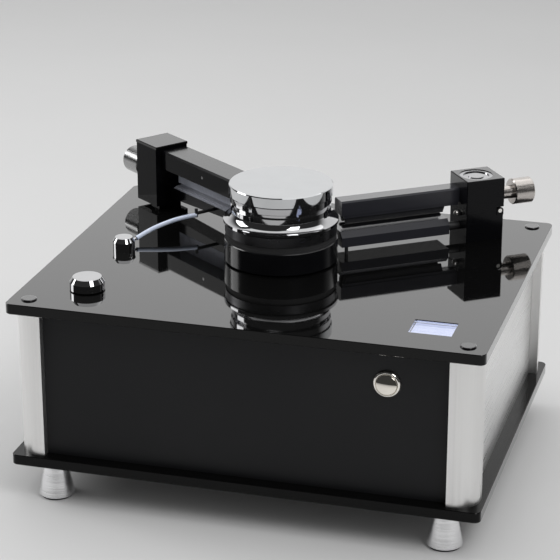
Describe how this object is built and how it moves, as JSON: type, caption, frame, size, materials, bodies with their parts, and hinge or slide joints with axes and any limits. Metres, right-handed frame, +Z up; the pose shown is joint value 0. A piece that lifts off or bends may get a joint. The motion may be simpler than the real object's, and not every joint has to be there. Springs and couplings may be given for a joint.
{
  "type": "record cleaning machine",
  "caption": "Box-shaped record cleaning machine with a driven hub under a lift-off clamp, a brush arm, a suction arm, fluid hose, display, knobs and push-button.",
  "frame": {"origin": "bottom centre: on the floor under the middle of the machine", "axes": "+Z up, +X to the right along the front panel, +Y from the front panel to the rear"},
  "size_m": [0.4028, 0.32, 0.2466],
  "materials": {
    "black_acrylic": "polished black sheet",
    "satin_black": "satin black coating",
    "black_anodised": "black anodised, satin",
    "satin_aluminium": "fine satin anodised",
    "brushed_side": "satin, lightly brushed",
    "polished_chrome": "mirror polished",
    "stainless": "turned, satin",
    "black_rubber": "matt",
    "black_velvet": "short pile",
    "grey_bristle": "fine upright bristles",
    "pale_bristle": "fine upright bristles",
    "black_plastic": "moulded",
    "clear_tube": "milky clear",
    "clear_window": "clear sheet",
    "lit_display": "backlit panel",
    "tank_plastic": "milky moulded",
    "circuit_green": "circuit board",
    "motor_grey": "plain",
    "brass_fitting": "turned"
  },
  "bodies": {
    "case": {"base_plate": "black_acrylic", "lid_plate": "black_acrylic", "lid_screws": "black_acrylic", "corner_profiles": "satin_aluminium", "cone_feet": "satin_aluminium", "side_panels": "brushed_side", "front_panel": "satin_black", "rear_panel": "satin_black", "foot_pads": "black_rubber", "case_screws": "stainless", "bearing_housing": "satin_aluminium", "spindle_bearings": "stainless", "drive_belt": "black_rubber", "motor": "motor_grey", "suction_tower": "black_anodised", "hinge_pins": "polished_chrome", "suction_lower_bar": "black_anodised", "suction_lower_velvet": "black_velvet", "suction_fittings": "polished_chrome", "wash_post": "black_anodised", "wash_lower_bar": "black_anodised", "wash_lower_brush": "grey_bristle", "wash_feed_pipe": "black_plastic", "knob_encoder": "black_plastic", "valve_body": "polished_chrome", "clear_hose": "clear_tube", "display_window": "clear_window", "display_module": "lit_display", "button_bezel": "polished_chrome", "fluid_pump": "black_plastic", "fluid_tanks": "tank_plastic", "tank_lids": "black_plastic", "vacuum_turbine": "motor_grey", "inner_pipes": "black_plastic", "power_supply": "satin_aluminium", "control_board": "circuit_green", "mains_inlet": "black_plastic", "drain_spout": "brass_fitting"},
    "platter": {"platter_hub": "black_anodised", "hub_mat": "black_rubber", "spindle": "stainless", "drive_pulley": "satin_aluminium"},
    "clamp": {"clamp_body": "polished_chrome", "clamp_cap": "polished_chrome", "clamp_ring": "black_anodised", "clamp_pad": "black_rubber"},
    "motor_rotor": {"motor_pulley": "satin_aluminium"},
    "suction_arm": {"suction_head": "black_anodised", "suction_cap": "polished_chrome", "suction_upper_bar": "black_anodised", "suction_upper_velvet": "black_velvet"},
    "suction_grip": {"suction_thumb_screw": "stainless"},
    "wash_arm": {"wash_head": "black_anodised", "wash_cap": "black_anodised", "wash_upper_bar": "black_anodised", "wash_upper_brush": "pale_bristle"},
    "wash_grip": {"wash_thumb_screw": "satin_aluminium"},
    "mode_dial": {"mode_knob": "polished_chrome"},
    "valve_dial": {"valve_cap": "polished_chrome"},
    "button": {"button_plunger": "stainless"}
  },
  "joints": [
    {"name": "platter_spin", "type": "hinge", "parent": "case", "child": "platter", "pos_m": [-0.0116, 0.0066, 0.178], "axis": [0, 0, 1], "continuous": true},
    {"name": "motor_spin", "type": "hinge", "parent": "case", "child": "motor_rotor", "pos_m": [-0.085, -0.058, 0.098], "axis": [0, 0, 1], "continuous": true},
    {"name": "clamp_lift", "type": "slide", "parent": "platter", "child": "clamp", "axis": [0, 0, 1], "range_m": [0, 0.04]},
    {"name": "suction_tilt", "type": "hinge", "parent": "case", "child": "suction_arm", "pos_m": [0.14793, 0.12422, 0.204], "axis": [-0.5934, 0.8049, 0], "range_deg": [0, 30]},
    {"name": "suction_screw_turn", "type": "hinge", "parent": "suction_arm", "child": "suction_grip", "pos_m": [0.16543, 0.13115, 0.2145], "axis": [0.8049, 0.5934, 0], "range_deg": [0, 720]},
    {"name": "wash_tilt", "type": "hinge", "parent": "case", "child": "wash_arm", "pos_m": [-0.16365, 0.12285, 0.1884], "axis": [-0.6074, -0.7944, 0], "range_deg": [0, 20]},
    {"name": "wash_screw_turn", "type": "hinge", "parent": "wash_arm", "child": "wash_grip", "pos_m": [-0.17759, 0.13426, 0.209], "axis": [-0.7944, 0.6074, 0], "range_deg": [0, 720]},
    {"name": "mode_turn", "type": "hinge", "parent": "case", "child": "mode_dial", "pos_m": [-0.1456, -0.11, 0.184], "axis": [0, 0, 1], "continuous": true},
    {"name": "valve_turn", "type": "hinge", "parent": "case", "child": "valve_dial", "pos_m": [-0.1494, -0.01, 0.188], "axis": [0, 0, 1], "range_deg": [0, 270]},
    {"name": "button_press", "type": "slide", "parent": "case", "child": "button", "axis": [0, 1, 0], "range_m": [0, 0.0025], "stiffness_N_per_m": 700, "springref_m": -0.002}
  ],
  "couplings": [
    {"joint": "motor_spin", "follows": "platter_spin", "ratio": 4.0556}
  ]
}
